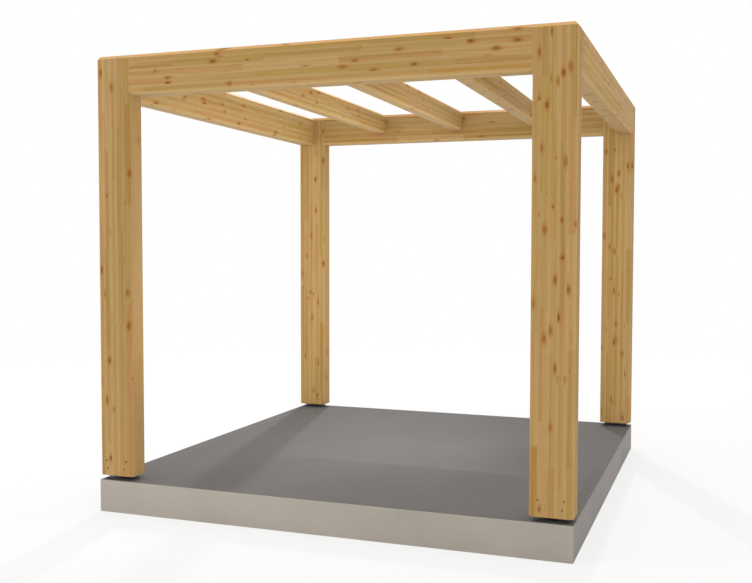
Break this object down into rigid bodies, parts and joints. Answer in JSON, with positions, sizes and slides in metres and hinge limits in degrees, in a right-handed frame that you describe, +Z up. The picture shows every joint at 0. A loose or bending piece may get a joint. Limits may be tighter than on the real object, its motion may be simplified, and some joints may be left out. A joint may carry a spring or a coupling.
{
  "type": "timber pergola on a concrete base",
  "caption": "Free-standing open timber pergola: wide chamfered posts, flush deep beams and shallower rafters, on black steel feet over a square concrete base.",
  "frame": {"origin": "centre of the concrete base's underside, at ground level", "axes": "+Z up, -Y towards the front, +X towards the right side seen from the front"},
  "size_m": [2.94, 2.94, 2.8],
  "materials": {
    "timber": "planed glued softwood, clear satin oil",
    "concrete": "plain cast concrete, matt",
    "black_steel": "black powder coat, matt",
    "dowel_steel": "zinc-plated, dulled"
  },
  "bodies": {
    "root": {"base_slab": "concrete", "post_front_left": "timber", "post_front_right": "timber", "post_back_left": "timber", "post_back_right": "timber", "beam_front": "timber", "beam_back": "timber", "beam_left": "timber", "beam_right": "timber", "rafter_1": "timber", "rafter_2": "timber", "rafter_3": "timber", "foot_front_left": "black_steel", "foot_front_right": "black_steel", "foot_back_left": "black_steel", "foot_back_right": "black_steel", "dowels_front_left": "dowel_steel", "dowels_front_right": "dowel_steel", "dowels_back_left": "dowel_steel", "dowels_back_right": "dowel_steel"}
  },
  "joints": []
}
